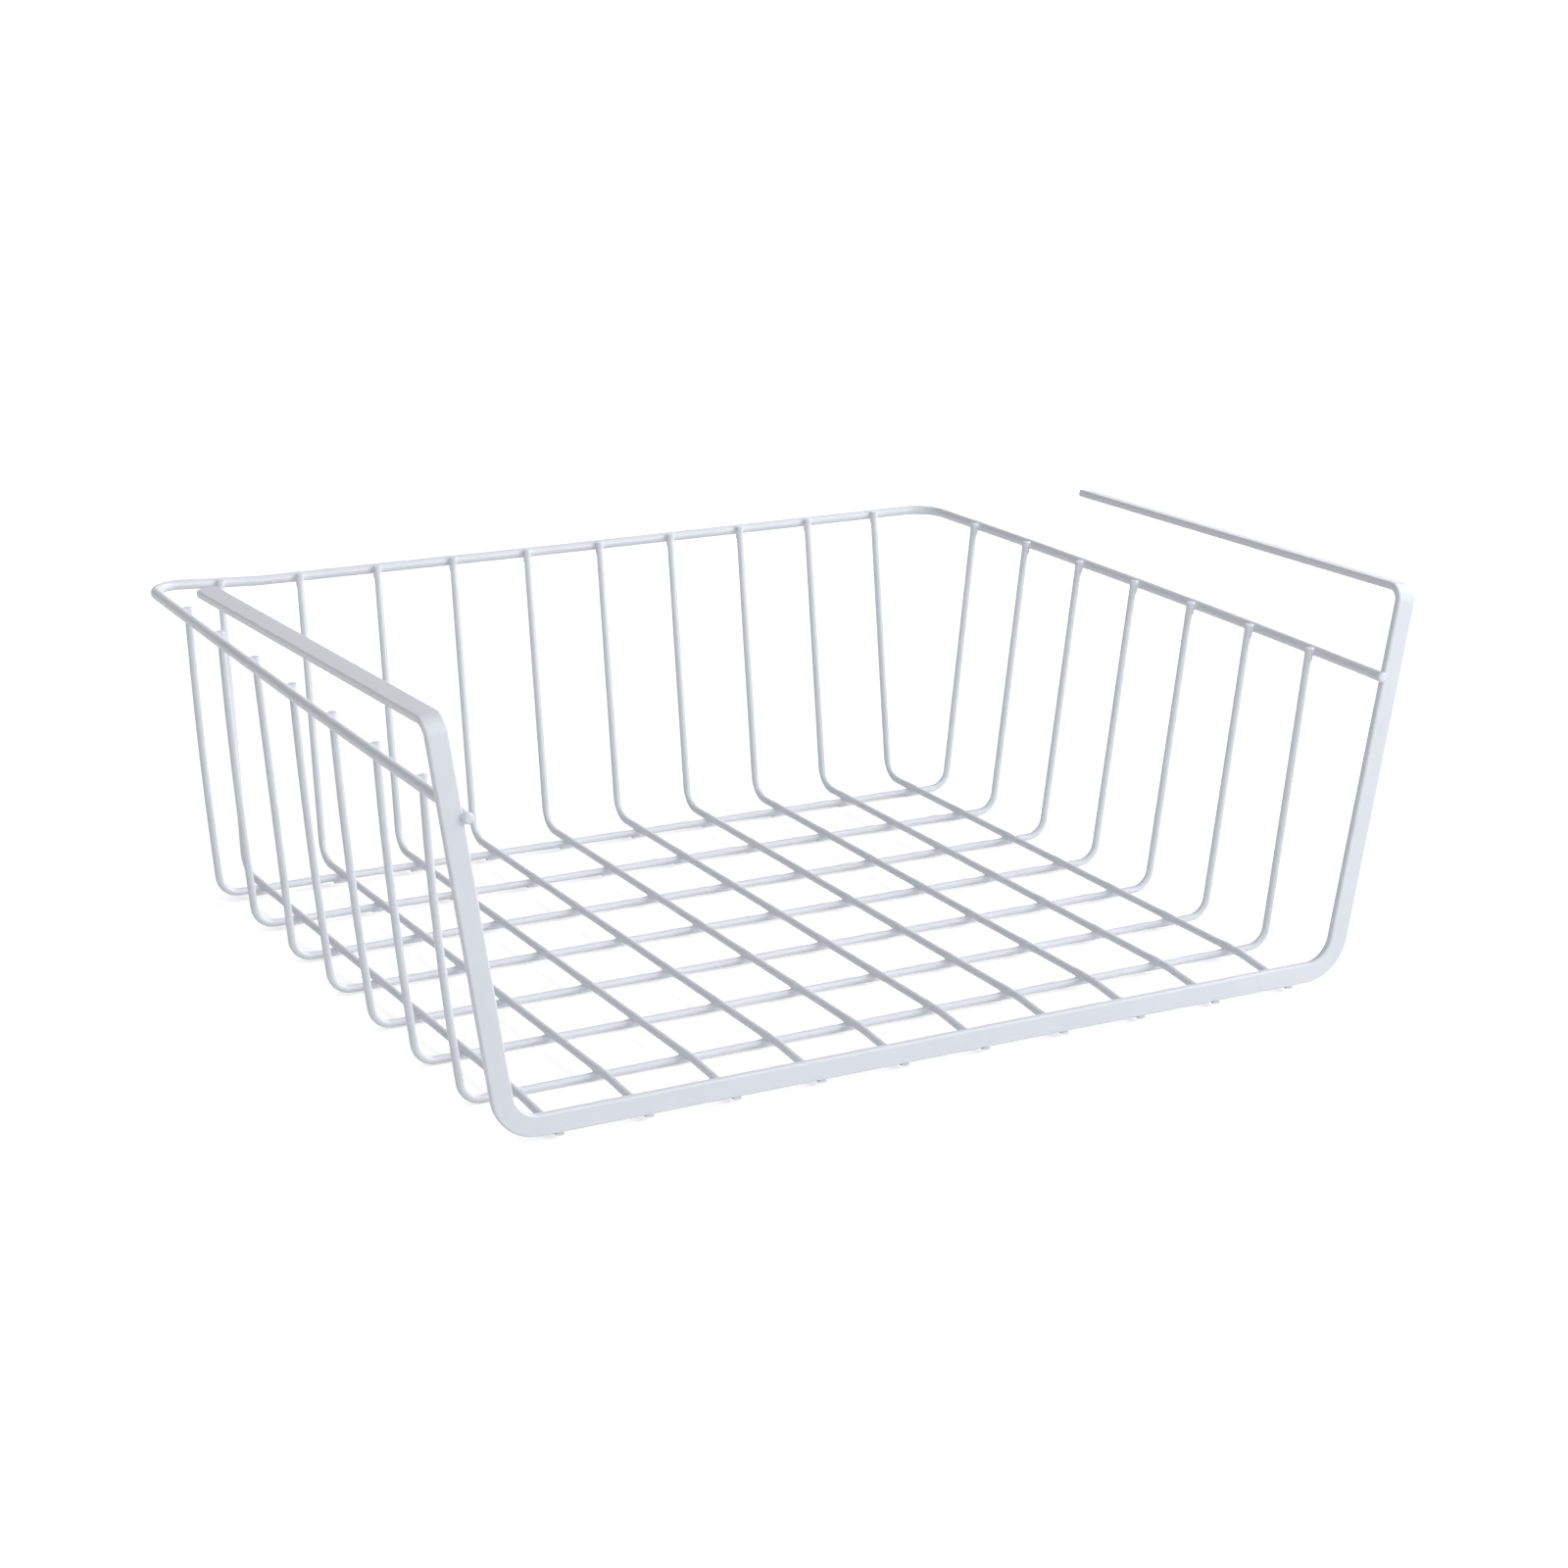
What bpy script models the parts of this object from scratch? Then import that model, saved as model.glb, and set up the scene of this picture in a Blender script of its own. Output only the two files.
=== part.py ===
"""Under-shelf wire basket: a flat-bar hanging frame, a rim wire and seventeen wall and floor wires.

Metres, +Z up, the open front towards -Y. The origin is the middle of the underside of the whole.
Each piece is bent from straight stock, as on a wire bender, and the welds are left as narrow gaps.
The rim is wider at the front than at the back and its sides bow out a little, so no two side wires
lean alike.
"""

import math

import bmesh
import bpy
from mathutils import Matrix, Vector

# Rim wire, a U seen from above
RIM_DIAMETER = 0.004
RIM_LENGTH = 0.3228  # from its two front ends to the outside of its back run
RIM_FRONT_SPREAD = 0.3696  # between the centre lines of its side runs, at the front ends
RIM_BACK_SPREAD = 0.3654  # the same at the back corners
RIM_SIDE_BOW = 0.0033  # how far the middle of each side run stands out from a straight line
RIM_STRAIGHT_END = 0.012  # the last length of each side run, beside the leg
RIM_HEIGHT = 0.119  # its centre line over the surface that the basket stands on
RIM_CORNER_INNER_RADIUS = 0.011
RIM_END_ROUNDING = 0.001

# Thin wires of the walls and the floor
WIRE_DIAMETER = 0.003
WIRE_END_ROUNDING = 0.0006
WIRE_TIP_RISE = 0.0009  # how far the tips stand over the top of the rim
SIDE_WIRE_COUNT = 7
SIDE_WIRE_BEND_INNER_RADIUS = 0.0065
FLOOR_WIDTH = 0.343  # between the corners that the side wires' straight runs would make
SIDE_WIRE_BACK_MARGIN = 0.0221  # from the floor's back corner to the last side wire
SIDE_WIRE_FRONT_MARGIN = 0.0382  # from the hanging frame to the first side wire
BACK_WIRE_COUNT = 10
BACK_WIRE_BEND_INNER_RADIUS = 0.0085
BACK_WALL_RUN = 0.0194  # how far the back wall leans out between floor and rim
BACK_WIRE_SIDE_MARGIN = 0.0185  # from the floor's side corner to the outermost back wire
PRESSED_END_THICKNESS = 0.0012  # the front ends are pressed flat under the hanging frame
PRESSED_END_SPREAD_SHARE = 0.15  # how much wider the pressing makes them
PRESSED_END_DIP = 0.0033  # how far they lie below the rest of the wire
PRESSED_END_SETBACK = 0.0012  # behind the front face of the hanging frame
PRESSED_END_TAPER = 0.005  # from the pressed end to the round wire
DIP_SETBACK = 0.008  # from the first side wire to where the back wires start to dip

# Hanging frame, one flat bar
BAR_WIDTH = 0.008
BAR_THICKNESS = 0.003
BAR_EDGE_ROUNDING = 0.0009
BAR_SETBACK = 0.0025  # its front face behind the rim wire's ends
LEG_LEAN = math.radians(9.4)
LEG_CORNER_INNER_RADIUS = 0.010  # bent edgewise
SLOT_HEIGHT = 0.0282  # from the rim's top to the arms, at the front
ARM_BEND_INNER_RADIUS = 0.0035  # bent flatwise
ARM_REACH = 0.213  # from the front face to the tip
ARM_DROP = math.radians(1.54)  # the arms come down towards their tips, to grip the board
ARM_TIP_ROUNDING = 0.0022

# Fit and facets
WELD_GAP = 0.0003
MERGE_DISTANCE = 0.00001
WIRE_SIDES = 10
RIM_SIDES = 12
EDGE_STEPS = 2
BEND_STEPS = 6
SHARP_ANGLE = math.radians(50)

RIGHT = Vector((1, 0, 0))
BACK = Vector((0, 1, 0))
UP = Vector((0, 0, 1))

# Places that several pieces share
FRONT_ENDS_Y = -RIM_LENGTH / 2
RIM_BACK_Y = RIM_LENGTH / 2 - RIM_DIAMETER / 2
FLOOR_BACK_Y = RIM_BACK_Y - BACK_WALL_RUN
SIDE_WIRE_Z = WIRE_DIAMETER / 2
BACK_WIRE_Z = SIDE_WIRE_Z + WIRE_DIAMETER + WELD_GAP
WIRE_TIP_Z = RIM_HEIGHT + RIM_DIAMETER / 2 + WIRE_TIP_RISE
BAR_FRONT_Y = FRONT_ENDS_Y + BAR_SETBACK
BAR_BACK_Y = BAR_FRONT_Y + BAR_THICKNESS
FIRST_SIDE_WIRE_Y = BAR_BACK_Y + SIDE_WIRE_FRONT_MARGIN
LAST_SIDE_WIRE_Y = FLOOR_BACK_Y - SIDE_WIRE_BACK_MARGIN
PRESSED_END_BOTTOM_Z = BACK_WIRE_Z - WIRE_DIAMETER / 2 - PRESSED_END_DIP
BAR_BOTTOM_Z = PRESSED_END_BOTTOM_Z + PRESSED_END_THICKNESS + WELD_GAP


def round_outline(diameter, sides):
    """Corners of a round section, as pairs of offsets."""
    turns = [math.tau * n / sides for n in range(sides)]
    return [(math.cos(t) * diameter / 2, math.sin(t) * diameter / 2) for t in turns]


def flat_outline(width, thickness, rounding):
    """Corners of a flat section with rounded edges, as pairs of offsets."""
    outline = []
    for quarter, (x_side, y_side) in enumerate([(1, 1), (-1, 1), (-1, -1), (1, -1)]):
        x_centre = x_side * (width / 2 - rounding)
        y_centre = y_side * (thickness / 2 - rounding)
        for step in range(EDGE_STEPS + 1):
            turn = (quarter + step / EDGE_STEPS) * math.pi / 2
            outline.append((x_centre + rounding * math.cos(turn), y_centre + rounding * math.sin(turn)))
    return outline


def rim_side():
    """Radius of the bowed side runs of the rim, and the middle of the right one's circle."""
    back = Vector((RIM_BACK_SPREAD / 2, RIM_BACK_Y, 0))
    front = Vector((RIM_FRONT_SPREAD / 2, FRONT_ENDS_Y, 0))
    chord = front - back
    half_turn = 2 * math.atan(2 * RIM_SIDE_BOW / chord.length)
    radius = chord.length / 2 / math.sin(half_turn)
    inward = chord.cross(UP).normalized()
    return radius, (back + front) / 2 + inward * radius * math.cos(half_turn)


def rim_half_spread(y):
    """How far out the rim's centre line is at this place along the side."""
    radius, centre = rim_side()
    return centre.x + math.sqrt(radius ** 2 - (y - centre.y) ** 2)


def rim_slant(y):
    """How far the right side run turns outward there from straight ahead, as it goes to the front."""
    radius, centre = rim_side()
    return math.asin((y - centre.y) / radius)


def wall_lean(run, rise, clearance):
    """Angle from upright of a wall wire that starts at a floor corner and passes the rim at the clearance."""
    return math.atan2(run, rise) - math.asin(clearance / math.hypot(run, rise))


class Stock:
    """A length of bar, grown ring by ring: fed straight ahead, or bent round a centre beside it."""

    def __init__(self, outline, at, heading, across, upward):
        self.mesh = bmesh.new()
        self.at = at
        self.heading = heading
        corners = [self.mesh.verts.new(at + across * x + upward * y) for x, y in outline]
        self.ring = [self.mesh.edges.new(pair) for pair in zip(corners, corners[1:] + corners[:1])]
        self.first_ring = self.ring

    def corners(self):
        return list({corner for edge in self.ring for corner in edge.verts})

    def feed(self, length):
        grown = bmesh.ops.extrude_edge_only(self.mesh, edges=self.ring)["geom"]
        self.ring = [piece for piece in grown if isinstance(piece, bmesh.types.BMEdge)]
        self.ring = [edge for edge in self.ring if len(edge.link_faces) == 1]
        bmesh.ops.translate(self.mesh, verts=self.corners(), vec=self.heading * length)
        self.at = self.at + self.heading * length

    def bend(self, angle, radius, toward):
        centre = self.at + toward * radius
        axis = self.heading.cross(toward)
        spun = bmesh.ops.spin(
            self.mesh, geom=self.ring, cent=centre, axis=axis, angle=angle, steps=BEND_STEPS
        )
        self.ring = [piece for piece in spun["geom_last"] if isinstance(piece, bmesh.types.BMEdge)]
        turn = Matrix.Rotation(angle, 3, axis)
        self.at = centre + turn @ (self.at - centre)
        self.heading = turn @ self.heading

    def lift(self, height):
        """Sets the last ring higher, so that what was fed last slopes."""
        bmesh.ops.translate(self.mesh, verts=self.corners(), vec=UP * height)
        self.at = self.at + UP * height

    def stretch(self, direction, factor):
        """Scales the last ring along one direction about the middle of the bar."""
        for corner in self.corners():
            offset = (corner.co - self.at).dot(direction)
            corner.co += direction * offset * (factor - 1)

    def round_end(self, rounding, directions):
        """Feeds the end on through a quarter round, which narrows it along each (direction, half size)."""
        done = 0
        for step in range(1, EDGE_STEPS + 1):
            turn = step / EDGE_STEPS * math.pi / 2
            narrowed = rounding * (1 - math.cos(turn))
            before = rounding * (1 - math.cos(turn - math.pi / 2 / EDGE_STEPS))
            self.feed(rounding * math.sin(turn) - done)
            done = rounding * math.sin(turn)
            for direction, half_size in directions:
                self.stretch(direction, (half_size - narrowed) / (half_size - before))

    def close(self, ring):
        bmesh.ops.contextual_create(self.mesh, geom=ring)


def finished(name, stock, material, mirrored):
    """Closes the stock's end, and its start too where no mirrored half meets it, and returns its mesh."""
    stock.close(stock.ring)
    if not mirrored:
        stock.close(stock.first_ring)
    bmesh.ops.recalc_face_normals(stock.mesh, faces=stock.mesh.faces)
    mesh = bpy.data.meshes.new(name)
    stock.mesh.to_mesh(mesh)
    stock.mesh.free()
    mesh.shade_smooth()
    mesh.set_sharp_from_angle(angle=SHARP_ANGLE)
    mesh.materials.append(material)
    return mesh


def place(name, mesh, location, basket, mirrored):
    """Puts an object with this mesh in the basket; a mirrored one is made whole across its middle."""
    piece = bpy.data.objects.new(name, mesh)
    bpy.context.scene.collection.objects.link(piece)
    piece.location = location
    piece.parent = basket
    if mirrored:
        mirror = piece.modifiers.new("Other half", "MIRROR")
        mirror.use_clip = True
        mirror.merge_threshold = MERGE_DISTANCE
    return piece


def coating(name, colour, roughness):
    """White coating over steel."""
    material = bpy.data.materials.new(name)
    material.use_nodes = True
    shader = material.node_tree.nodes["Principled BSDF"]
    shader.inputs["Base Color"].default_value = (*colour, 1)
    shader.inputs["Roughness"].default_value = roughness
    shader.inputs["Metallic"].default_value = 0
    material.diffuse_color = (*colour, 1)
    return material


def rim_wire(basket):
    """Right half: along the back, round the corner and forward in a slight bow to the end."""
    middle = Vector((0, RIM_BACK_Y, RIM_HEIGHT))
    corner_radius = RIM_CORNER_INNER_RADIUS + RIM_DIAMETER / 2
    bow_back_y = RIM_BACK_Y - corner_radius
    bow_front_y = FRONT_ENDS_Y + RIM_STRAIGHT_END
    slant = rim_slant(bow_back_y)
    corner_turn = math.pi / 2 - slant
    tangent = corner_radius * math.tan(corner_turn / 2)
    corner_x = rim_half_spread(bow_back_y) - corner_radius * math.tan(slant)
    stock = Stock(round_outline(RIM_DIAMETER, RIM_SIDES), middle, RIGHT, BACK, UP)
    stock.feed(corner_x - tangent)
    stock.bend(corner_turn, corner_radius, -BACK)
    stock.feed(corner_radius / math.cos(slant) - tangent)
    bow_radius, _ = rim_side()
    stock.bend(slant - rim_slant(bow_front_y), bow_radius, stock.heading.cross(UP))
    left_to_go = stock.at.y - FRONT_ENDS_Y - RIM_END_ROUNDING
    stock.feed(left_to_go / -stock.heading.y)
    across = stock.heading.cross(UP)
    stock.round_end(RIM_END_ROUNDING, [(across, RIM_DIAMETER / 2), (UP, RIM_DIAMETER / 2)])
    mesh = finished("rim_wire", stock, coating("rim coating", (0.80, 0.82, 0.85), 0.38), True)
    place("rim_wire", mesh, (0, 0, 0), basket, True)


def wall_and_tip(stock, lean, outward):
    """Runs the wire up its wall to a rounded tip over the rim."""
    rise = WIRE_TIP_Z - WIRE_END_ROUNDING - stock.at.z
    stock.feed(rise / math.cos(lean))
    across = stock.heading.cross(outward.cross(UP))
    along_wall = outward.cross(UP)
    half = WIRE_DIAMETER / 2
    stock.round_end(WIRE_END_ROUNDING, [(across, half), (along_wall, half)])


def side_floor_wires(basket):
    """U-shaped wires, each up one side wall, under the floor and up the other, half of each drawn."""
    material = coating("side wire coating", (0.80, 0.82, 0.85), 0.4)
    clearance = RIM_DIAMETER / 2 + WELD_GAP + WIRE_DIAMETER / 2
    radius = SIDE_WIRE_BEND_INNER_RADIUS + WIRE_DIAMETER / 2
    pitch = (LAST_SIDE_WIRE_Y - FIRST_SIDE_WIRE_Y) / (SIDE_WIRE_COUNT - 1)
    for n in range(SIDE_WIRE_COUNT):
        y = FIRST_SIDE_WIRE_Y + n * pitch
        run = rim_half_spread(y) - FLOOR_WIDTH / 2
        lean = wall_lean(run, RIM_HEIGHT - SIDE_WIRE_Z, clearance)
        turn = math.pi / 2 - lean
        stock = Stock(round_outline(WIRE_DIAMETER, WIRE_SIDES), UP * SIDE_WIRE_Z, RIGHT, BACK, UP)
        stock.feed(FLOOR_WIDTH / 2 - radius * math.tan(turn / 2))
        stock.bend(turn, radius, UP)
        wall_and_tip(stock, lean, RIGHT)
        name = f"side_floor_wire_{n + 1:02d}"
        place(name, finished(name, stock, material, True), (0, y, 0), basket, True)


def back_floor_wires(basket):
    """L-shaped wires, each from its pressed end under the hanging frame, along the floor and up the back."""
    clearance = RIM_DIAMETER / 2 + WELD_GAP + WIRE_DIAMETER / 2
    lean = wall_lean(BACK_WALL_RUN, RIM_HEIGHT - BACK_WIRE_Z, clearance)
    turn = math.pi / 2 - lean
    radius = BACK_WIRE_BEND_INNER_RADIUS + WIRE_DIAMETER / 2
    flattening = PRESSED_END_THICKNESS / WIRE_DIAMETER
    start = Vector((0, BAR_FRONT_Y + PRESSED_END_SETBACK, PRESSED_END_BOTTOM_Z + PRESSED_END_THICKNESS / 2))
    outline = [
        (x * (1 + PRESSED_END_SPREAD_SHARE), y * flattening)
        for x, y in round_outline(WIRE_DIAMETER, WIRE_SIDES)
    ]
    stock = Stock(outline, start, BACK, RIGHT, UP)
    stock.feed(BAR_BACK_Y + WELD_GAP - start.y)
    stock.feed(PRESSED_END_TAPER)
    stock.stretch(UP, 1 / flattening)
    stock.stretch(RIGHT, 1 / (1 + PRESSED_END_SPREAD_SHARE))
    stock.lift((WIRE_DIAMETER - PRESSED_END_THICKNESS) / 2)
    stock.feed(FIRST_SIDE_WIRE_Y - DIP_SETBACK - stock.at.y)
    stock.lift(BACK_WIRE_Z - stock.at.z)
    stock.feed(FLOOR_BACK_Y - radius * math.tan(turn / 2) - stock.at.y)
    stock.bend(turn, radius, UP)
    wall_and_tip(stock, lean, BACK)
    mesh = finished("back_floor_wire", stock, coating("back wire coating", (0.78, 0.80, 0.84), 0.4), False)
    outermost = FLOOR_WIDTH / 2 - BACK_WIRE_SIDE_MARGIN
    pitch = 2 * outermost / (BACK_WIRE_COUNT - 1)
    for n in range(BACK_WIRE_COUNT):
        place(f"back_floor_wire_{n + 1:02d}", mesh, (n * pitch - outermost, 0, 0), basket, False)


def hanging_frame(basket):
    """Right half: along the front, edgewise up the leg, and flatwise back into the arm."""
    leg = RIGHT * math.sin(LEG_LEAN) + UP * math.cos(LEG_LEAN)
    across_leg = RIGHT * math.cos(LEG_LEAN) - UP * math.sin(LEG_LEAN)
    front_run = Vector((0, BAR_FRONT_Y + BAR_THICKNESS / 2, BAR_BOTTOM_Z + BAR_WIDTH / 2))
    beside_rim = RIM_DIAMETER / 2 + WELD_GAP + BAR_WIDTH / 2
    leg_x_at_rim = rim_half_spread(BAR_BACK_Y) + beside_rim / math.cos(LEG_LEAN)
    corner_x = leg_x_at_rim - (RIM_HEIGHT - front_run.z) * math.tan(LEG_LEAN)
    corner_turn = math.pi / 2 - LEG_LEAN
    corner_radius = LEG_CORNER_INNER_RADIUS + BAR_WIDTH / 2
    corner_tangent = corner_radius * math.tan(corner_turn / 2)
    arm_turn = math.pi / 2 + ARM_DROP
    arm_radius = ARM_BEND_INNER_RADIUS + BAR_THICKNESS / 2
    arm_tangent = arm_radius * math.tan(arm_turn / 2)
    below_arm = math.cos(LEG_LEAN) * BAR_THICKNESS / 2 + math.sin(LEG_LEAN) * BAR_WIDTH / 2
    arm_z = RIM_HEIGHT + RIM_DIAMETER / 2 + SLOT_HEIGHT + below_arm
    leg_length = (arm_z - front_run.z) / math.cos(LEG_LEAN)

    outline = flat_outline(BAR_WIDTH, BAR_THICKNESS, BAR_EDGE_ROUNDING)
    stock = Stock(outline, front_run, RIGHT, UP, BACK)
    stock.feed(corner_x - corner_tangent)
    stock.bend(corner_turn, corner_radius, UP)
    stock.feed(leg_length - corner_tangent - arm_tangent)
    stock.bend(arm_turn, arm_radius, BACK)
    reached = stock.at.y - BAR_FRONT_Y
    stock.feed((ARM_REACH - reached) / math.cos(ARM_DROP) - ARM_TIP_ROUNDING)
    stock.round_end(ARM_TIP_ROUNDING, [(across_leg, BAR_WIDTH / 2)])
    mesh = finished("hanging_frame", stock, coating("frame coating", (0.80, 0.82, 0.85), 0.36), True)
    place("hanging_frame", mesh, (0, 0, 0), basket, True)


def main():
    for found in list(bpy.data.objects):
        bpy.data.objects.remove(found, do_unlink=True)
    basket = bpy.data.objects.new("basket", None)
    bpy.context.scene.collection.objects.link(basket)
    hanging_frame(basket)
    rim_wire(basket)
    side_floor_wires(basket)
    back_floor_wires(basket)


main()
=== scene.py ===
import math

import bmesh
import bpy
from mathutils import Matrix, Vector


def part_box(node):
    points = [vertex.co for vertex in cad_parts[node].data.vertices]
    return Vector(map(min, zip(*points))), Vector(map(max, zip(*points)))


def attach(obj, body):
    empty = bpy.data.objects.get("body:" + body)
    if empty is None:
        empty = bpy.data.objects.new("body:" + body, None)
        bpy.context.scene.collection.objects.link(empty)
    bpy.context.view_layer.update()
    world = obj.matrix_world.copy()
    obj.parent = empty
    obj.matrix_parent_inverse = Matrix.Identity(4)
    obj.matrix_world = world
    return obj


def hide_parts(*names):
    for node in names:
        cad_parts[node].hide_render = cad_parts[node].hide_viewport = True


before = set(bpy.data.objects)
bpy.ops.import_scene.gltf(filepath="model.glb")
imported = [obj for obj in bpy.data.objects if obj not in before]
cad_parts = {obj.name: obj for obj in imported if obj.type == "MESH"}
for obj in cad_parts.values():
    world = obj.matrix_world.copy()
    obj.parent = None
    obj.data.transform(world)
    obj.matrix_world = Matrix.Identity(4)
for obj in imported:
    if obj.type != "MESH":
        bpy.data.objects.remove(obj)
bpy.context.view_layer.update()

# Looks of a white wire basket that hangs under a shelf. Metres, +Z up, the open front towards -Y.
# Every wire and bar is bent from straight stock, as on a wire bender, and stands where the frame
# has its node. The rim and walls are a little out of true, as welding leaves them, and wires that
# only stand close in the frame are let into each other here and joined by welds.

# Rim wire. Its end is rounded, and is straight where it meets the leg.
RIM_RADIUS = 0.002
RIM_HEIGHT = 0.119
RIM_CORNER_RADIUS = 0.013
RIM_STRAIGHT_END = 0.012
RIM_END_ROUNDING = 0.001

# How each side stands. Of its rim: how far it is from the middle at the back and at the front, how
# far it bows out between them, how far it stops short of the front, and how far it is pulled in to
# its leg. Of its wall wires: how far from the middle they leave the floor, and how far they bulge.
LEFT_SIDE = {
    "back": 0.1824, "front": 0.1896, "bow": 0.0009, "short": 0, "pull": 0.0032,
    "floor": 0.1708, "bulge": 0.0009,
}
RIGHT_SIDE = {
    "back": 0.1831, "front": 0.1862, "bow": 0.0035, "short": 0.0016, "pull": 0,
    "floor": 0.1707, "bulge": 0.0001,
}

# Thin wires
WIRE_RADIUS = 0.0015
WIRE_END_ROUNDING = 0.0008
WIRE_TIP_Z = 0.1207
RIM_TOUCH = 0.0034  # from the middle of a wall wire to the middle of the rim, into each other
FLOOR_HALF = 0.1715  # half the width of a true floor
FLOOR_BACK_Y = 0.138
SIDE_BEND_RADIUS = 0.008
BACK_BEND_RADIUS = 0.010
SIDE_WIRE_Z = 0.0015
BACK_WIRE_Z = 0.0038  # let into the wires below
PRESSED_THICKNESS = 0.0012
PRESSED_SPREAD_SHARE = 1.15  # a pressed end is this much wider than the wire
PRESSED_TAPER = 0.005
PRESSED_SETBACK = 0.0012
DIP_SETBACK = 0.008

# Flat bar of the hanging frame
BAR_WIDTH = 0.008
BAR_THICKNESS = 0.003
BAR_EDGE_ROUNDING = 0.0009
BAR_EDGE_ANGLE = math.radians(50)  # corners sharper than this are rounded
BAR_BOTTOM_Z = 0.0015
LEG_X_AT_RIM = 0.19137
LEG_LEAN = math.radians(9.4)
LEG_CORNER_RADIUS = 0.014
ARM_BEND_RADIUS = 0.005
ARM_REACH = 0.213
ARM_DROP = math.radians(1.54)
ARM_TIP_ROUNDING = 0.0022
SLOT_HEIGHT = 0.0282

# Out of true
FLOOR_TWIST = 0.0008  # at the corners of the floor: left back and right front up
LEFT_RIM_RISE = 0.0018
LEFT_RIM_DIP = 0.0019  # at its end, which is drawn down to the leg
LEFT_WALL_FROM_SHARE = 0.8  # of the floor's half width: further out it is the left wall that rises
DRAWN_FROM_Y = 0  # from here to the front the left rim is pulled in and down
DRAWN_POWER = 1.5  # so it starts gently
TOP_BEND_POWER = 3  # a wall wire follows the pull mostly near its top
STRAIGHT_ON_THE_LEFT = 5  # the side wire whose left wall run has no bulge
SUNK_DEEPER = {6: 0.0005, 7: 0.0009}  # side wires pressed up into the wires above them
SUNK_MIDDLE_SHARE = 0.75
SUNK_TILT_SHARE = 0.5  # at the left wall they sink deeper by this, and at the right less deep

# Welds
MELT_VOXEL = 0.00028
BEAD_FACES_SHARE = 0.16
FLOOR_WELD_REACH = 2.6 * WIRE_RADIUS
FLOOR_WELD_RADIUS = 1.1 * WIRE_RADIUS
FLOOR_WELD_FLOW = 14
RIM_WELD_REACH = 1.7 * RIM_RADIUS
RIM_WELD_RADIUS = 1.04 * RIM_RADIUS
RIM_WELD_TIP_RADIUS = 1.12 * WIRE_RADIUS
RIM_WELD_FLOW = 12

# Powder coating
COATING_COLOUR = (0.772, 0.808, 0.872)
FRAME_ROUGHNESS = 0.36
WIRE_ROUGHNESS = 0.34
GLOSS_SPREAD = 0.05
DULLER_TONE_SHARE = 0.975
PEEL_SCALE = 1400
PEEL_DEPTH = 0.0001
PATCH_SCALE = 60

# Studio: floor, lamps and camera
PAPER_SIZE = 30
PAPER_Z = -0.001
PAPER_COLOUR = (0.88, 0.88, 0.88, 1)
SHADOW_KEPT_TO = 0.3  # from the middle of the basket
PLAIN_WHITE_FROM = 1.2
SKY_STRENGTH = 0.05
SOFTBOX_SIZE = 1.8
SOFTBOX_DISTANCE = 2.5
SOFTBOXES = (  # azimuth, 0 straight in front and 90 to the right, then elevation and power
    ("right window", 90, 32, 42),
    ("front right light", 30, 20, 26),
    ("high left light", -45, 50, 15),
    ("high front light", 0, 50, 6),
    ("left fill", -90, 20, 4),
)
CAMERA_PLACE = (-0.61171, -1.11609, 0.45543)
CAMERA_AZIMUTH = math.radians(-29.542)
CAMERA_ELEVATION = math.radians(17.297)
CAMERA_ROLL = math.radians(0.906)
CAMERA_LENS = 78.22
CAMERA_SENSOR = 36

# Facets
WIRE_SIDES = 20
RIM_SIDES = 24
BEND_STEPS = 12
BOW_STEPS = 24
END_STEPS = 3
WALL_STEPS = 10
EDGE_STEPS = 4
TIP_STEPS = 6
BEAD_SIDES = 16
SMOOTH_ANGLE = math.radians(40)
HAIR = 0.0001

RIGHT = Vector((1, 0, 0))
BACK = Vector((0, 1, 0))
UP = Vector((0, 0, 1))

SIDE_NODES = [f"side_floor_wire_{n:02d}" for n in range(1, 8)]
BACK_NODES = [f"back_floor_wire_{n:02d}" for n in range(1, 11)]


def middle(node):
    low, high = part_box(node)
    return (Vector(low) + Vector(high)) / 2


RIM_FRONT_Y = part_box("rim_wire")[0][1]
RIM_BACK_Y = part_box("rim_wire")[1][1] - RIM_RADIUS
BAR_FRONT_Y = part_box("hanging_frame")[0][1]
SIDE_WIRE_PLACES = [middle(node).y for node in SIDE_NODES]
BACK_WIRE_PLACES = [middle(node).x for node in BACK_NODES]


# ---------------------------------------------------------------- bending stock

def clear_selection():
    if bpy.context.object and bpy.context.object.mode != "OBJECT":
        bpy.ops.object.mode_set(mode="OBJECT")
    bpy.ops.object.select_all(action="DESELECT")


def make_active(piece):
    clear_selection()
    piece.select_set(True)
    bpy.context.view_layer.objects.active = piece


def pick_corners(piece, test):
    """Selects the corners that pass the test, and what lies between them, in edit mode."""
    bpy.ops.mesh.select_all(action="DESELECT")
    mesh = bmesh.from_edit_mesh(piece.data)
    for corner in mesh.verts:
        corner.select = test(corner.co)
    mesh.select_flush(True)
    bmesh.update_edit_mesh(piece.data)


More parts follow.
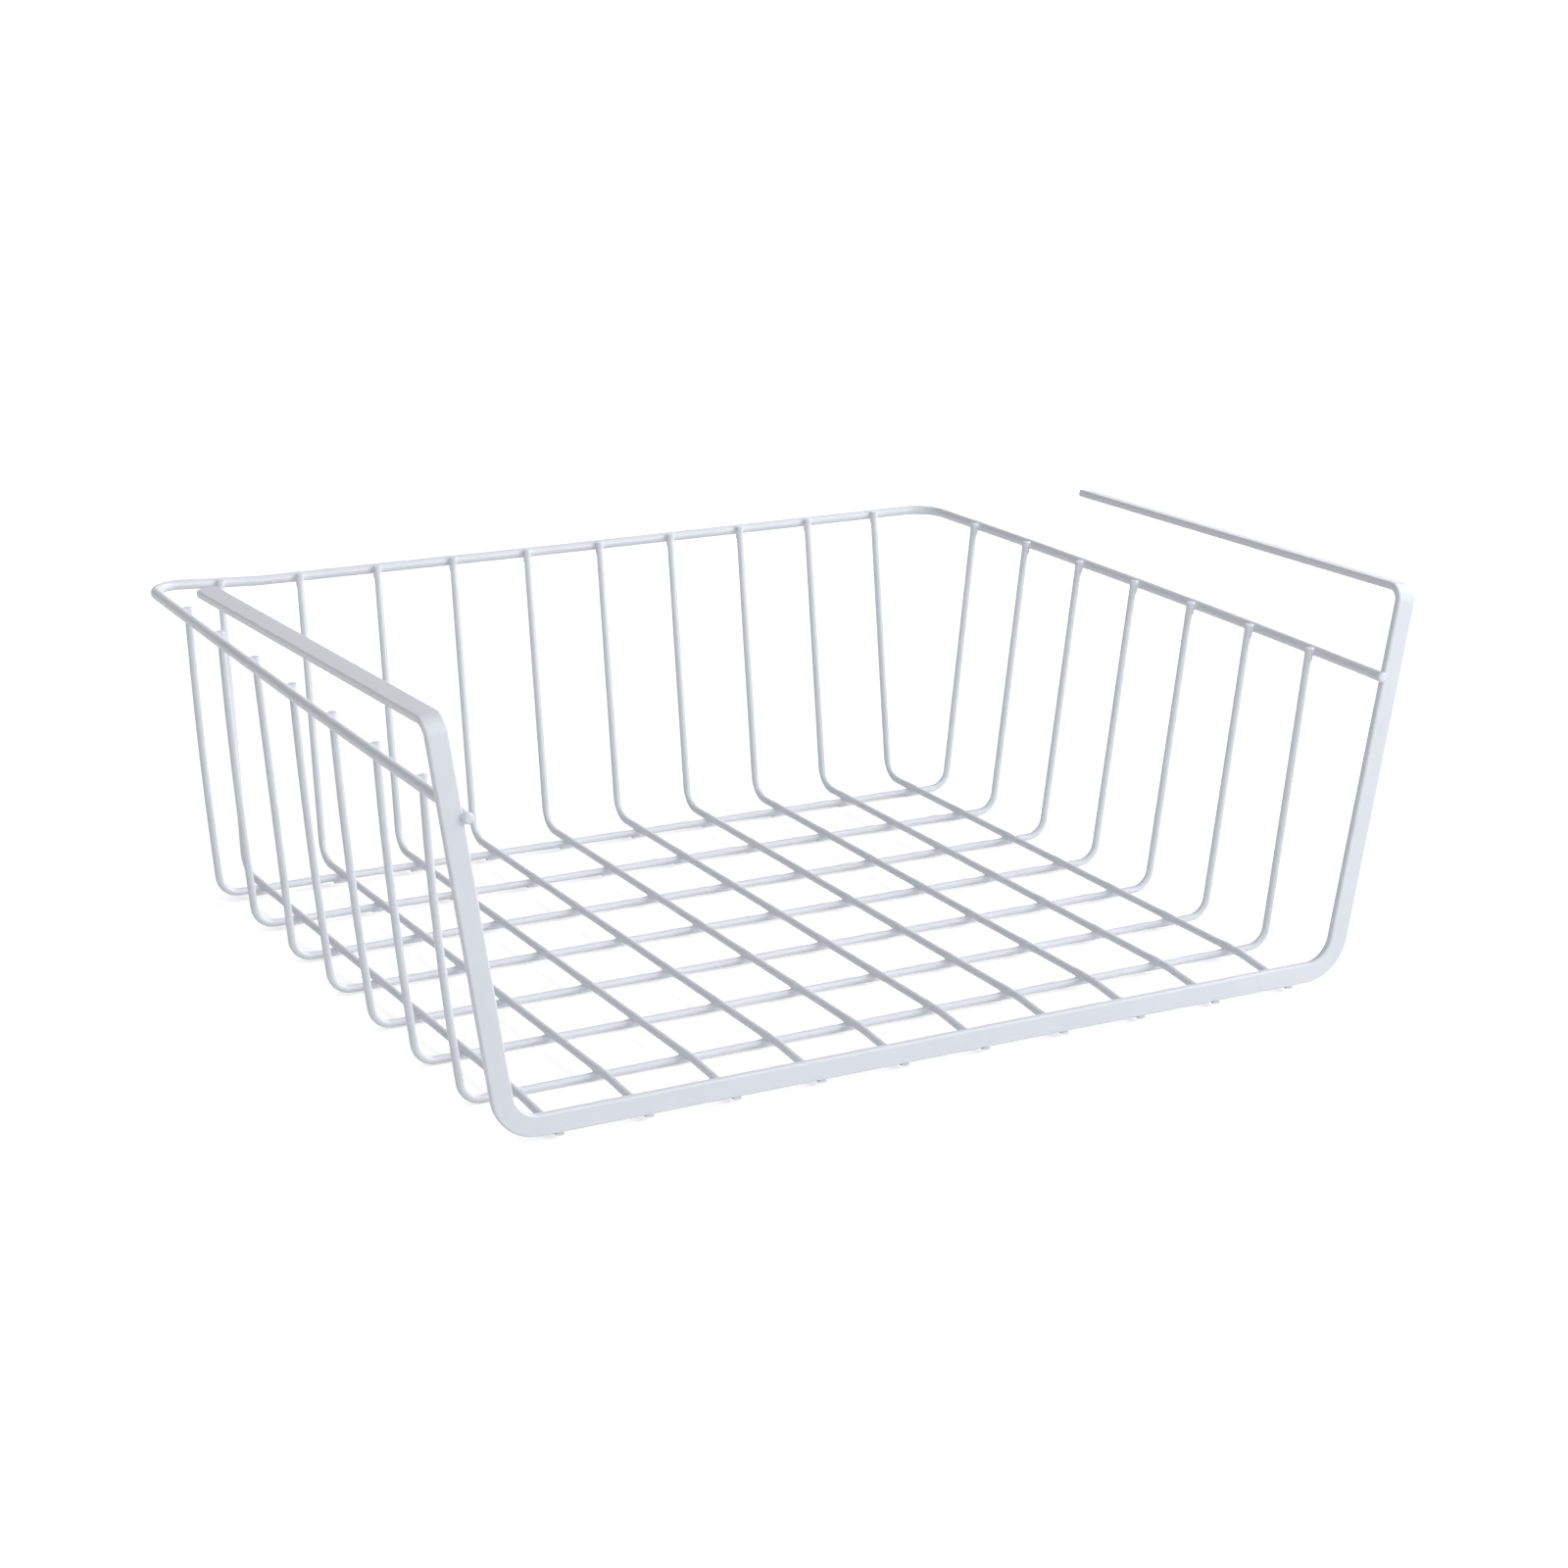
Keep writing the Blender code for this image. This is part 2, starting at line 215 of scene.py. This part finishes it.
class Stock:
    """A length of wire or bar, drawn from its start: fed straight ahead, or bent about a point
    beside it."""

    def __init__(self, name, at, heading):
        self.name = name
        self.start = self.at = Vector(at)
        self.first_heading = self.heading = Vector(heading).normalized()

    def take_up(self):
        """Names the section just added, settles it in place and opens it for editing."""
        self.piece = bpy.context.object
        self.piece.name = self.piece.data.name = self.name
        bpy.ops.object.transform_apply(location=True, rotation=True, scale=True)
        bpy.ops.object.mode_set(mode="EDIT")
        bpy.ops.mesh.select_mode(type="VERT")
        bpy.ops.mesh.select_all(action="SELECT")

    def round_section(self, radius, sides):
        clear_selection()
        turn = self.heading.to_track_quat("Z", "Y").to_euler()
        bpy.ops.mesh.primitive_circle_add(
            vertices=sides, radius=radius, fill_type="NOTHING", location=self.at, rotation=turn
        )
        self.take_up()

    def flat_section(self, width, thickness):
        """A flat bar on edge: its width stands up, across a heading to the right."""
        clear_selection()
        bpy.ops.mesh.primitive_plane_add(size=1, location=self.at, rotation=(0, math.pi / 2, 0))
        bpy.context.object.scale = (width, thickness, 1)
        self.take_up()
        bpy.ops.mesh.delete(type="ONLY_FACE")
        bpy.ops.mesh.select_all(action="SELECT")

    def feed(self, length):
        step = self.heading * length
        bpy.ops.mesh.extrude_region_move(TRANSFORM_OT_translate={"value": step})
        self.at = self.at + step

    def bend(self, angle, radius, toward, steps=BEND_STEPS):
        centre = self.at + toward * radius
        axis = self.heading.cross(toward)
        # Spin turns the other way.
        bpy.ops.mesh.spin(steps=steps, angle=-angle, center=centre, axis=axis)
        turn = Matrix.Rotation(angle, 3, axis)
        self.at = centre + turn @ (self.at - centre)
        self.heading = turn @ self.heading

    def resize(self, shares):
        bpy.ops.transform.resize(value=shares, center_override=self.at)

    def lift(self, height):
        bpy.ops.transform.translate(value=UP * height)
        self.at = self.at + UP * height

    def round_end(self, rounding, radius):
        """Runs out through a quarter round, and closes the end."""
        fed, wide = 0, radius
        for step in range(1, END_STEPS + 1):
            turn = step / END_STEPS * math.pi / 2
            self.feed(rounding * math.sin(turn) - fed)
            fed = rounding * math.sin(turn)
            narrow = radius - rounding * (1 - math.cos(turn))
            self.resize((narrow / wide,) * 3)
            wide = narrow
        bpy.ops.mesh.edge_face_add()

    def close_start(self):
        pick_corners(self.piece, lambda co: abs((co - self.start).dot(self.first_heading)) < HAIR)
        bpy.ops.mesh.edge_face_add()

    def finish(self):
        bpy.ops.mesh.select_all(action="SELECT")
        bpy.ops.mesh.normals_make_consistent(inside=False)
        bpy.ops.object.mode_set(mode="OBJECT")
        return self.piece


def both_halves(name, draw):
    """Draws the right half of a wire and then the left, which is turned over and joined on."""
    right = draw(name, RIGHT_SIDE)
    left = draw(name + "_left", LEFT_SIDE)
    make_active(left)
    bpy.ops.object.mode_set(mode="EDIT")
    bpy.ops.mesh.select_all(action="SELECT")
    bpy.ops.transform.resize(value=(-1, 1, 1), center_override=(0, 0, 0))
    bpy.ops.object.mode_set(mode="OBJECT")
    right.select_set(True)
    bpy.context.view_layer.objects.active = right
    bpy.ops.object.join()
    bpy.ops.object.mode_set(mode="EDIT")
    bpy.ops.mesh.select_all(action="SELECT")
    bpy.ops.mesh.remove_doubles(threshold=HAIR / 10)
    bpy.ops.mesh.normals_make_consistent(inside=False)
    bpy.ops.object.mode_set(mode="OBJECT")
    return right


# ---------------------------------------------------------------- where things are

def share_between(value, low, high):
    """0 up to low, 1 from high, and an even curve between."""
    share = min(max((value - low) / (high - low), 0), 1)
    return share * share * (3 - 2 * share)


def drawn_in(y):
    """Share of its pull and dip that a rim has at a place along its side."""
    return (max(DRAWN_FROM_Y - y, 0) / (DRAWN_FROM_Y - RIM_FRONT_Y)) ** DRAWN_POWER


def rise(at):
    """How far a place on the basket stands above where a true one would have it."""
    height_share = min(at.z / RIM_HEIGHT, 1)
    left_share = share_between(-at.x, LEFT_WALL_FROM_SHARE * FLOOR_HALF, FLOOR_HALF)
    twist = FLOOR_TWIST * -at.x / FLOOR_HALF * at.y / FLOOR_BACK_Y
    if at.x > 0:
        twist *= 1 - height_share
    if height_share < 1 / 2:  # the bar holds the front of the floor true
        twist *= share_between(at.y, BAR_FRONT_Y, SIDE_WIRE_PLACES[0])
    return twist + height_share * left_share * (LEFT_RIM_RISE - LEFT_RIM_DIP * drawn_in(at.y))


def warp(piece):
    for corner in piece.data.vertices:
        corner.co.z += rise(corner.co)


def bow_of(side):
    """Radius of a bowed side run of the rim, not yet drawn in, and the middle of its circle. Both
    sides are measured as if each were the right-hand one."""
    back = Vector((side["back"], RIM_BACK_Y, 0))
    front = Vector((side["front"], RIM_FRONT_Y, 0))
    chord = front - back
    half_turn = 2 * math.atan(2 * side["bow"] / chord.length)
    radius = chord.length / 2 / math.sin(half_turn)
    inward = chord.cross(UP).normalized()
    return radius, (back + front) / 2 + inward * radius * math.cos(half_turn)


def bow_half(side, y):
    """From the middle to the rim of a side, not yet drawn in."""
    radius, centre = bow_of(side)
    return centre.x + math.sqrt(radius ** 2 - (y - centre.y) ** 2)


def rim_half(side, y):
    return bow_half(side, y) - side["pull"] * drawn_in(y)


def rim_slant(side, y):
    radius, centre = bow_of(side)
    return math.asin((y - centre.y) / radius)


def wall_lean(run, height):
    return math.atan2(run, height) - math.asin(RIM_TOUCH / math.hypot(run, height))


def side_lean(side, y):
    return wall_lean(bow_half(side, y) - side["floor"], RIM_HEIGHT - SIDE_WIRE_Z)


def back_lean():
    return wall_lean(RIM_BACK_Y - FLOOR_BACK_Y, RIM_HEIGHT - BACK_WIRE_Z)


# ---------------------------------------------------------------- wires and bar

def draw_rim_half(name, side):
    """From the middle of the back, round the corner and along the bowed side to its end."""
    bow_back = RIM_BACK_Y - RIM_CORNER_RADIUS
    slant = rim_slant(side, bow_back)
    corner_turn = math.pi / 2 - slant
    tangent = RIM_CORNER_RADIUS * math.tan(corner_turn / 2)
    corner_x = bow_half(side, bow_back) - RIM_CORNER_RADIUS * math.tan(slant)
    bow_radius, _ = bow_of(side)
    bow_turn = slant - rim_slant(side, RIM_FRONT_Y + RIM_STRAIGHT_END)
    stock = Stock(name, (0, RIM_BACK_Y, RIM_HEIGHT), RIGHT)
    stock.round_section(RIM_RADIUS, RIM_SIDES)
    for _ in BACK_NODES:
        stock.feed((corner_x - tangent) / len(BACK_NODES))
    stock.bend(corner_turn, RIM_CORNER_RADIUS, -BACK)
    stock.feed(RIM_CORNER_RADIUS / math.cos(slant) - tangent)
    stock.bend(bow_turn, bow_radius, stock.heading.cross(UP), BOW_STEPS)
    to_end = (stock.at.y - RIM_FRONT_Y - side["short"] - RIM_END_ROUNDING) / -stock.heading.y
    for _ in range(END_STEPS):
        stock.feed(to_end / END_STEPS)
    stock.round_end(RIM_END_ROUNDING, RIM_RADIUS)
    piece = stock.finish()
    for corner in piece.data.vertices:
        if corner.co.x > FLOOR_HALF:
            corner.co.x -= side["pull"] * drawn_in(corner.co.y)
    return piece


def make_rim():
    piece = both_halves("rim", draw_rim_half)
    warp(piece)
    return piece


def up_the_wall(stock, lean, steps):
    height = WIRE_TIP_Z - WIRE_END_ROUNDING - stock.at.z
    for _ in range(steps):
        stock.feed(height / steps / math.cos(lean))
    stock.round_end(WIRE_END_ROUNDING, WIRE_RADIUS)


def make_side_wire(name, y, left_bulge):
    """Across the floor and up both walls, each wall with its own lean and bulge, and drawn in at
    the top with the rim."""
    def draw(half_name, side):
        lean = side_lean(side, y)
        turn = math.pi / 2 - lean
        stock = Stock(half_name, (0, y, SIDE_WIRE_Z), RIGHT)
        stock.round_section(WIRE_RADIUS, WIRE_SIDES)
        stock.feed(side["floor"] - SIDE_BEND_RADIUS * math.tan(turn / 2))
        stock.bend(turn, SIDE_BEND_RADIUS, UP)
        up_the_wall(stock, lean, WALL_STEPS)
        half = stock.finish()
        bulge = left_bulge if side is LEFT_SIDE else side["bulge"]
        for corner in half.data.vertices:
            if corner.co.x > side["floor"] - SIDE_BEND_RADIUS:
                height_share = min(corner.co.z / RIM_HEIGHT, 1)
                corner.co.x += bulge * 4 * height_share * (1 - height_share)
                corner.co.x -= side["pull"] * drawn_in(y) * height_share ** TOP_BEND_POWER
        return half

    piece = both_halves(name, draw)
    warp(piece)
    return piece


def sink(piece, depth):
    """Sets a side wire's floor run up into the wires above it, most on the left."""
    for corner in piece.data.vertices:
        floor_share = 1 - share_between(corner.co.z, 2 * WIRE_RADIUS, RIM_HEIGHT / 2)
        left_share = SUNK_MIDDLE_SHARE - SUNK_TILT_SHARE * corner.co.x / FLOOR_HALF
        corner.co.z += depth * floor_share * left_share


def make_back_wire():
    """From its pressed end under the bar, over the side wires and up the back wall."""
    lean = back_lean()
    turn = math.pi / 2 - lean
    flat_share = PRESSED_THICKNESS / WIRE_RADIUS / 2
    stock = Stock("back_wire", (0, BAR_FRONT_Y + PRESSED_SETBACK, PRESSED_THICKNESS / 2), BACK)
    stock.round_section(WIRE_RADIUS, WIRE_SIDES)
    stock.resize((PRESSED_SPREAD_SHARE, 1, flat_share))
    stock.feed(BAR_FRONT_Y + BAR_THICKNESS - stock.at.y)
    stock.feed(PRESSED_TAPER)
    stock.resize((1 / PRESSED_SPREAD_SHARE, 1, 1 / flat_share))
    stock.lift(WIRE_RADIUS - PRESSED_THICKNESS / 2)
    stock.feed(SIDE_WIRE_PLACES[0] - DIP_SETBACK - stock.at.y)
    stock.lift(BACK_WIRE_Z - stock.at.z)
    stock.feed(FLOOR_BACK_Y - BACK_BEND_RADIUS * math.tan(turn / 2) - stock.at.y)
    stock.bend(turn, BACK_BEND_RADIUS, UP)
    up_the_wall(stock, lean, 1)
    stock.close_start()
    return stock.finish()


def copy_of(piece, name, place):
    copy = piece.copy()
    copy.data = piece.data.copy()
    copy.name = copy.data.name = name
    bpy.context.scene.collection.objects.link(copy)
    copy.data.transform(place)
    return copy


def make_frame():
    """The flat bar: along the front, edgewise up the leg, and flatwise back into the arm."""
    mid_y = BAR_FRONT_Y + BAR_THICKNESS / 2
    mid_z = BAR_BOTTOM_Z + BAR_WIDTH / 2
    corner_x = LEG_X_AT_RIM - (RIM_HEIGHT - mid_z) * math.tan(LEG_LEAN)
    corner_turn = math.pi / 2 - LEG_LEAN
    corner_tangent = LEG_CORNER_RADIUS * math.tan(corner_turn / 2)
    arm_turn = math.pi / 2 + ARM_DROP
    arm_tangent = ARM_BEND_RADIUS * math.tan(arm_turn / 2)
    below_arm = math.cos(LEG_LEAN) * BAR_THICKNESS / 2 + math.sin(LEG_LEAN) * BAR_WIDTH / 2
    arm_z = RIM_HEIGHT + RIM_RADIUS + SLOT_HEIGHT + below_arm
    stock = Stock("hanging_bar", (0, mid_y, mid_z), RIGHT)
    stock.flat_section(BAR_WIDTH, BAR_THICKNESS)
    stock.feed(corner_x - corner_tangent)
    stock.bend(corner_turn, LEG_CORNER_RADIUS, UP)
    stock.feed((arm_z - mid_z) / math.cos(LEG_LEAN) - corner_tangent - arm_tangent)
    stock.bend(arm_turn, ARM_BEND_RADIUS, BACK)
    stock.feed((ARM_REACH - stock.at.y + BAR_FRONT_Y) / math.cos(ARM_DROP))
    bpy.ops.mesh.edge_face_add()
    round_tip(stock)
    piece = stock.finish()
    other_half = piece.modifiers.new("Other half", "MIRROR")
    other_half.use_clip = True
    other_half.merge_threshold = HAIR / 10
    edges = piece.modifiers.new("Rounded edges", "BEVEL")
    edges.width = BAR_EDGE_ROUNDING
    edges.segments = EDGE_STEPS
    edges.limit_method = "ANGLE"
    edges.angle_limit = BAR_EDGE_ANGLE
    flat_faces = piece.modifiers.new("Flat faces", "WEIGHTED_NORMAL")
    flat_faces.keep_sharp = True
    make_active(piece)
    bpy.ops.object.modifier_apply(modifier=other_half.name)
    bpy.ops.object.modifier_apply(modifier=edges.name)
    bpy.ops.object.shade_smooth_by_angle(angle=SMOOTH_ANGLE)
    bpy.ops.object.modifier_apply(modifier=flat_faces.name)
    return piece


def round_tip(stock):
    """Rounds the two upright corners of the arm's tip."""
    across = RIGHT * math.cos(LEG_LEAN) - UP * math.sin(LEG_LEAN)
    mesh = bmesh.from_edit_mesh(stock.piece.data)
    bpy.ops.mesh.select_mode(type="EDGE")
    bpy.ops.mesh.select_all(action="DESELECT")
    for edge in mesh.edges:
        at_tip = all(abs((end.co - stock.at).dot(stock.heading)) < HAIR for end in edge.verts)
        along = (edge.verts[1].co - edge.verts[0].co).normalized()
        edge.select = at_tip and abs(along.dot(across)) < 1 / 2
    bmesh.update_edit_mesh(stock.piece.data)
    bpy.ops.mesh.bevel(offset=ARM_TIP_ROUNDING, segments=TIP_STEPS, affect="EDGES")
    bpy.ops.mesh.select_mode(type="VERT")


# ---------------------------------------------------------------- welds

def melt(name, flow, *rods):
    """Short lengths of the joined wires run into one: the corners between them fill up."""
    clear_selection()
    parts = []
    for start, end, radius in rods:
        run = Vector(end) - Vector(start)
        bpy.ops.mesh.primitive_cylinder_add(
            vertices=BEAD_SIDES, radius=radius, depth=run.length,
            location=Vector(start) + run / 2, rotation=run.to_track_quat("Z", "Y").to_euler(),
        )
        parts.append(bpy.context.object)
    for part in parts:
        part.select_set(True)
    bpy.ops.object.join()
    bpy.ops.object.transform_apply(location=True, rotation=True, scale=True)
    bead = bpy.context.object
    bead.name = bead.data.name = name
    run_together = bead.modifiers.new("Run together", "REMESH")
    run_together.mode = "VOXEL"
    run_together.voxel_size = MELT_VOXEL
    flow_out = bead.modifiers.new("Flow", "SMOOTH")
    flow_out.factor = 0.5
    flow_out.iterations = flow
    thin_out = bead.modifiers.new("Fewer faces", "DECIMATE")
    thin_out.ratio = BEAD_FACES_SHARE
    for modifier in (run_together, flow_out, thin_out):
        bpy.ops.object.modifier_apply(modifier=modifier.name)
    return bead


def spread(bead, name, places):
    """Copies a bead to its places and joins the copies into one piece."""
    copies = [copy_of(bead, f"{name}_{n}", place) for n, place in enumerate(places)]
    clear_selection()
    for copy in copies:
        copy.select_set(True)
    bpy.context.view_layer.objects.active = copies[0]
    bpy.ops.object.join()
    piece = bpy.context.object
    piece.name = piece.data.name = name
    bpy.data.objects.remove(bead)
    return piece


def lifted(x, y, z):
    """A place on the true basket, moved to where it is on this one."""
    at = Vector((x, y, z))
    return at + UP * rise(at)


def make_floor_welds():
    """One wherever a back wire crosses a side wire."""
    reach, radius = FLOOR_WELD_REACH, FLOOR_WELD_RADIUS
    above = BACK_WIRE_Z - SIDE_WIRE_Z
    bead = melt(
        "floor_weld", FLOOR_WELD_FLOW,
        ((-reach, 0, 0), (reach, 0, 0), radius),
        ((0, -reach, above), (0, reach, above), radius),
        ((0, 0, 0), (0, 0, above), radius),
    )
    places = [
        Matrix.Translation(lifted(x, y, SIDE_WIRE_Z))
        for x in BACK_WIRE_PLACES for y in SIDE_WIRE_PLACES
    ]
    return spread(bead, "floor_welds", places)


def make_rim_welds():
    """The bead is modelled for a wire of the back wall, whose rim lies behind it, and turned for
    the sides."""
    reach = RIM_WELD_REACH
    top = WIRE_TIP_Z - RIM_HEIGHT
    bead = melt(
        "rim_weld", RIM_WELD_FLOW,
        ((-reach, RIM_TOUCH, 0), (reach, RIM_TOUCH, 0), RIM_WELD_RADIUS),
        ((0, 0, -reach), (0, 0, top), RIM_WELD_TIP_RADIUS),
        ((0, 0, 0), (0, RIM_TOUCH, 0), WIRE_RADIUS),
    )
    places = [
        Matrix.Translation(lifted(x, RIM_BACK_Y - RIM_TOUCH, RIM_HEIGHT))
        for x in BACK_WIRE_PLACES
    ]
    for y in SIDE_WIRE_PLACES:
        for hand, side in ((1, RIGHT_SIDE), (-1, LEFT_SIDE)):
            at = lifted(hand * (rim_half(side, y) - RIM_TOUCH), y, RIM_HEIGHT)
            turn = Matrix.Rotation(-hand * math.pi / 2, 4, "Z")
            places.append(Matrix.Translation(at) @ turn)
    return spread(bead, "rim_welds", places)


# ---------------------------------------------------------------- finishes

def powder_coat(name, colour, roughness):
    """Satin powder coating: a fine orange peel, and a faint unevenness of gloss and tone."""
    material = bpy.data.materials.new(name)
    material.use_nodes = True
    nodes, links = material.node_tree.nodes, material.node_tree.links
    shader = nodes["Principled BSDF"]
    shader.inputs["Metallic"].default_value = 0
    shader.inputs["Specular IOR Level"].default_value = 0.5
    shader.inputs["Coat Weight"].default_value = 0.1
    shader.inputs["Coat Roughness"].default_value = 0.25
    place = nodes.new("ShaderNodeTexCoord")
    peel = nodes.new("ShaderNodeTexNoise")
    peel.inputs["Scale"].default_value = PEEL_SCALE
    peel.inputs["Detail"].default_value = 2
    bump = nodes.new("ShaderNodeBump")
    bump.inputs["Strength"].default_value = 0.12
    bump.inputs["Distance"].default_value = PEEL_DEPTH
    patches = nodes.new("ShaderNodeTexNoise")
    patches.inputs["Scale"].default_value = PATCH_SCALE
    patches.inputs["Detail"].default_value = 4
    gloss = nodes.new("ShaderNodeMapRange")
    gloss.inputs["To Min"].default_value = roughness - GLOSS_SPREAD
    gloss.inputs["To Max"].default_value = roughness + GLOSS_SPREAD
    tone = nodes.new("ShaderNodeValToRGB")
    tone.color_ramp.elements[0].position = 0.35
    tone.color_ramp.elements[0].color = (*[part * DULLER_TONE_SHARE for part in colour], 1)
    tone.color_ramp.elements[1].position = 0.65
    tone.color_ramp.elements[1].color = (*colour, 1)
    links.new(place.outputs["Object"], peel.inputs["Vector"])
    links.new(place.outputs["Object"], patches.inputs["Vector"])
    links.new(peel.outputs["Fac"], bump.inputs["Height"])
    links.new(bump.outputs["Normal"], shader.inputs["Normal"])
    links.new(patches.outputs["Fac"], gloss.inputs["Value"])
    links.new(gloss.outputs["Result"], shader.inputs["Roughness"])
    links.new(patches.outputs["Fac"], tone.inputs["Fac"])
    links.new(tone.outputs["Color"], shader.inputs["Base Color"])
    return material


def dress(piece, material, slot, *nodes):
    """Coats a piece, smooths it unless it has its own normals, and gives it its place in the
    frame."""
    piece.data.materials.clear()
    piece.data.materials.append(material)
    if not piece.data.has_custom_normals:
        make_active(piece)
        bpy.ops.object.shade_smooth_by_angle(angle=SMOOTH_ANGLE)
    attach(piece, "root")
    if nodes:
        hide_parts(*nodes)


def make_basket():
    frame_coat = powder_coat("frame coating", COATING_COLOUR, FRAME_ROUGHNESS)
    rim_coat = powder_coat("rim coating", COATING_COLOUR, WIRE_ROUGHNESS)
    side_coat = powder_coat("side wire coating", COATING_COLOUR, WIRE_ROUGHNESS)
    back_coat = powder_coat("back wire coating", COATING_COLOUR, WIRE_ROUGHNESS)
    dress(make_frame(), frame_coat, "frame_coating", "hanging_frame")
    dress(make_rim(), rim_coat, "rim_coating", "rim_wire")
    for n, (node, y) in enumerate(zip(SIDE_NODES, SIDE_WIRE_PLACES), 1):
        left_bulge = 0 if n == STRAIGHT_ON_THE_LEFT else LEFT_SIDE["bulge"]
        piece = make_side_wire(f"side_wire_{n:02d}", y, left_bulge)
        sink(piece, SUNK_DEEPER.get(n, 0))
        dress(piece, side_coat, "side_wire_coating", node)
    first = make_back_wire()
    for n, (node, x) in enumerate(zip(BACK_NODES, BACK_WIRE_PLACES), 1):
        piece = copy_of(first, f"back_wire_{n:02d}", Matrix.Translation((x, 0, 0)))
        warp(piece)
        dress(piece, back_coat, "back_wire_coating", node)
    bpy.data.objects.remove(first)
    dress(make_floor_welds(), side_coat, "side_wire_coating")
    dress(make_rim_welds(), rim_coat, "rim_coating")


# ---------------------------------------------------------------- studio

def softbox(name, azimuth, elevation, power):
    """A round softbox aimed at the basket."""
    lamp = bpy.data.lights.new(name, "AREA")
    lamp.shape = "DISK"
    lamp.size = SOFTBOX_SIZE
    lamp.energy = power
    holder = bpy.data.objects.new(name, lamp)
    bpy.context.scene.collection.objects.link(holder)
    round_it = Matrix.Rotation(math.radians(azimuth), 3, "Z")
    up_from_it = Matrix.Rotation(-math.radians(elevation), 3, "X")
    away = round_it @ up_from_it @ -BACK
    holder.location = UP * RIM_HEIGHT / 2 + away * SOFTBOX_DISTANCE
    holder.rotation_euler = away.to_track_quat("Z", "Y").to_euler()


def seen_white(tree, lit):
    """Adds white to a lit surface, for camera, glossy and transmission rays alone. Returns the
    surface and the socket for how much white."""
    nodes, links = tree.nodes, tree.links
    path = nodes.new("ShaderNodeLightPath")
    mirrored = nodes.new("ShaderNodeMath")
    mirrored.operation = "MAXIMUM"
    seen = nodes.new("ShaderNodeMath")
    seen.operation = "MAXIMUM"
    amount = nodes.new("ShaderNodeMath")
    amount.operation = "MULTIPLY"
    glow = nodes.new("ShaderNodeEmission")
    both = nodes.new("ShaderNodeAddShader")
    links.new(path.outputs["Is Glossy Ray"], mirrored.inputs[0])
    links.new(path.outputs["Is Transmission Ray"], mirrored.inputs[1])
    links.new(path.outputs["Is Camera Ray"], seen.inputs[0])
    links.new(mirrored.outputs[0], seen.inputs[1])
    links.new(seen.outputs[0], amount.inputs[0])
    links.new(amount.outputs[0], glow.inputs["Strength"])
    links.new(lit, both.inputs[0])
    links.new(glow.outputs[0], both.inputs[1])
    return both.outputs[0], amount.inputs[1]


def make_floor():
    """White paper: near the basket it keeps the soft shadow, and further out it is plain white."""
    clear_selection()
    bpy.ops.mesh.primitive_plane_add(size=PAPER_SIZE, location=(0, 0, PAPER_Z))
    floor = bpy.context.object
    floor.name = "floor"
    material = bpy.data.materials.new("white paper")
    material.use_nodes = True
    tree = material.node_tree
    shader = tree.nodes["Principled BSDF"]
    shader.inputs["Base Color"].default_value = PAPER_COLOUR
    shader.inputs["Roughness"].default_value = 0.9
    shader.inputs["Specular IOR Level"].default_value = 0.1
    place = tree.nodes.new("ShaderNodeTexCoord")
    distance = tree.nodes.new("ShaderNodeVectorMath")
    distance.operation = "LENGTH"
    fade = tree.nodes.new("ShaderNodeMapRange")
    fade.interpolation_type = "SMOOTHSTEP"
    fade.inputs["From Min"].default_value = SHADOW_KEPT_TO
    fade.inputs["From Max"].default_value = PLAIN_WHITE_FROM
    fade.inputs["To Min"].default_value = 0.52
    fade.inputs["To Max"].default_value = 1
    surface, white = seen_white(tree, shader.outputs[0])
    tree.links.new(place.outputs["Object"], distance.inputs[0])
    tree.links.new(distance.outputs["Value"], fade.inputs["Value"])
    tree.links.new(fade.outputs["Result"], white)
    tree.links.new(surface, tree.nodes["Material Output"].inputs["Surface"])
    floor.data.materials.append(material)


def make_light():
    world = bpy.data.worlds.new("studio")
    world.use_nodes = True
    bpy.context.scene.world = world
    tree = world.node_tree
    sky = tree.nodes["Background"]
    sky.inputs["Color"].default_value = (1, 1, 1, 1)
    sky.inputs["Strength"].default_value = SKY_STRENGTH
    surface, white = seen_white(tree, sky.outputs[0])
    white.default_value = 1 - SKY_STRENGTH
    tree.links.new(surface, tree.nodes["World Output"].inputs["Surface"])
    for name, azimuth, elevation, power in SOFTBOXES:
        softbox(name, azimuth, elevation, power)


def make_camera():
    """At the photograph's viewing angle: from the front left, a little above."""
    camera = bpy.data.cameras.new("camera")
    camera.sensor_fit = "HORIZONTAL"
    camera.sensor_width = CAMERA_SENSOR
    camera.lens = CAMERA_LENS
    holder = bpy.data.objects.new("camera", camera)
    bpy.context.scene.collection.objects.link(holder)
    turn = (
        Matrix.Rotation(CAMERA_AZIMUTH, 4, "Z")
        @ Matrix.Rotation(math.pi / 2 - CAMERA_ELEVATION, 4, "X")
        @ Matrix.Rotation(CAMERA_ROLL, 4, "Z")
    )
    holder.matrix_world = Matrix.Translation(CAMERA_PLACE) @ turn
    bpy.context.scene.camera = holder


make_camera()
make_floor()
make_light()
make_basket()
clear_selection()
bpy.context.scene.view_settings.view_transform = "Standard"
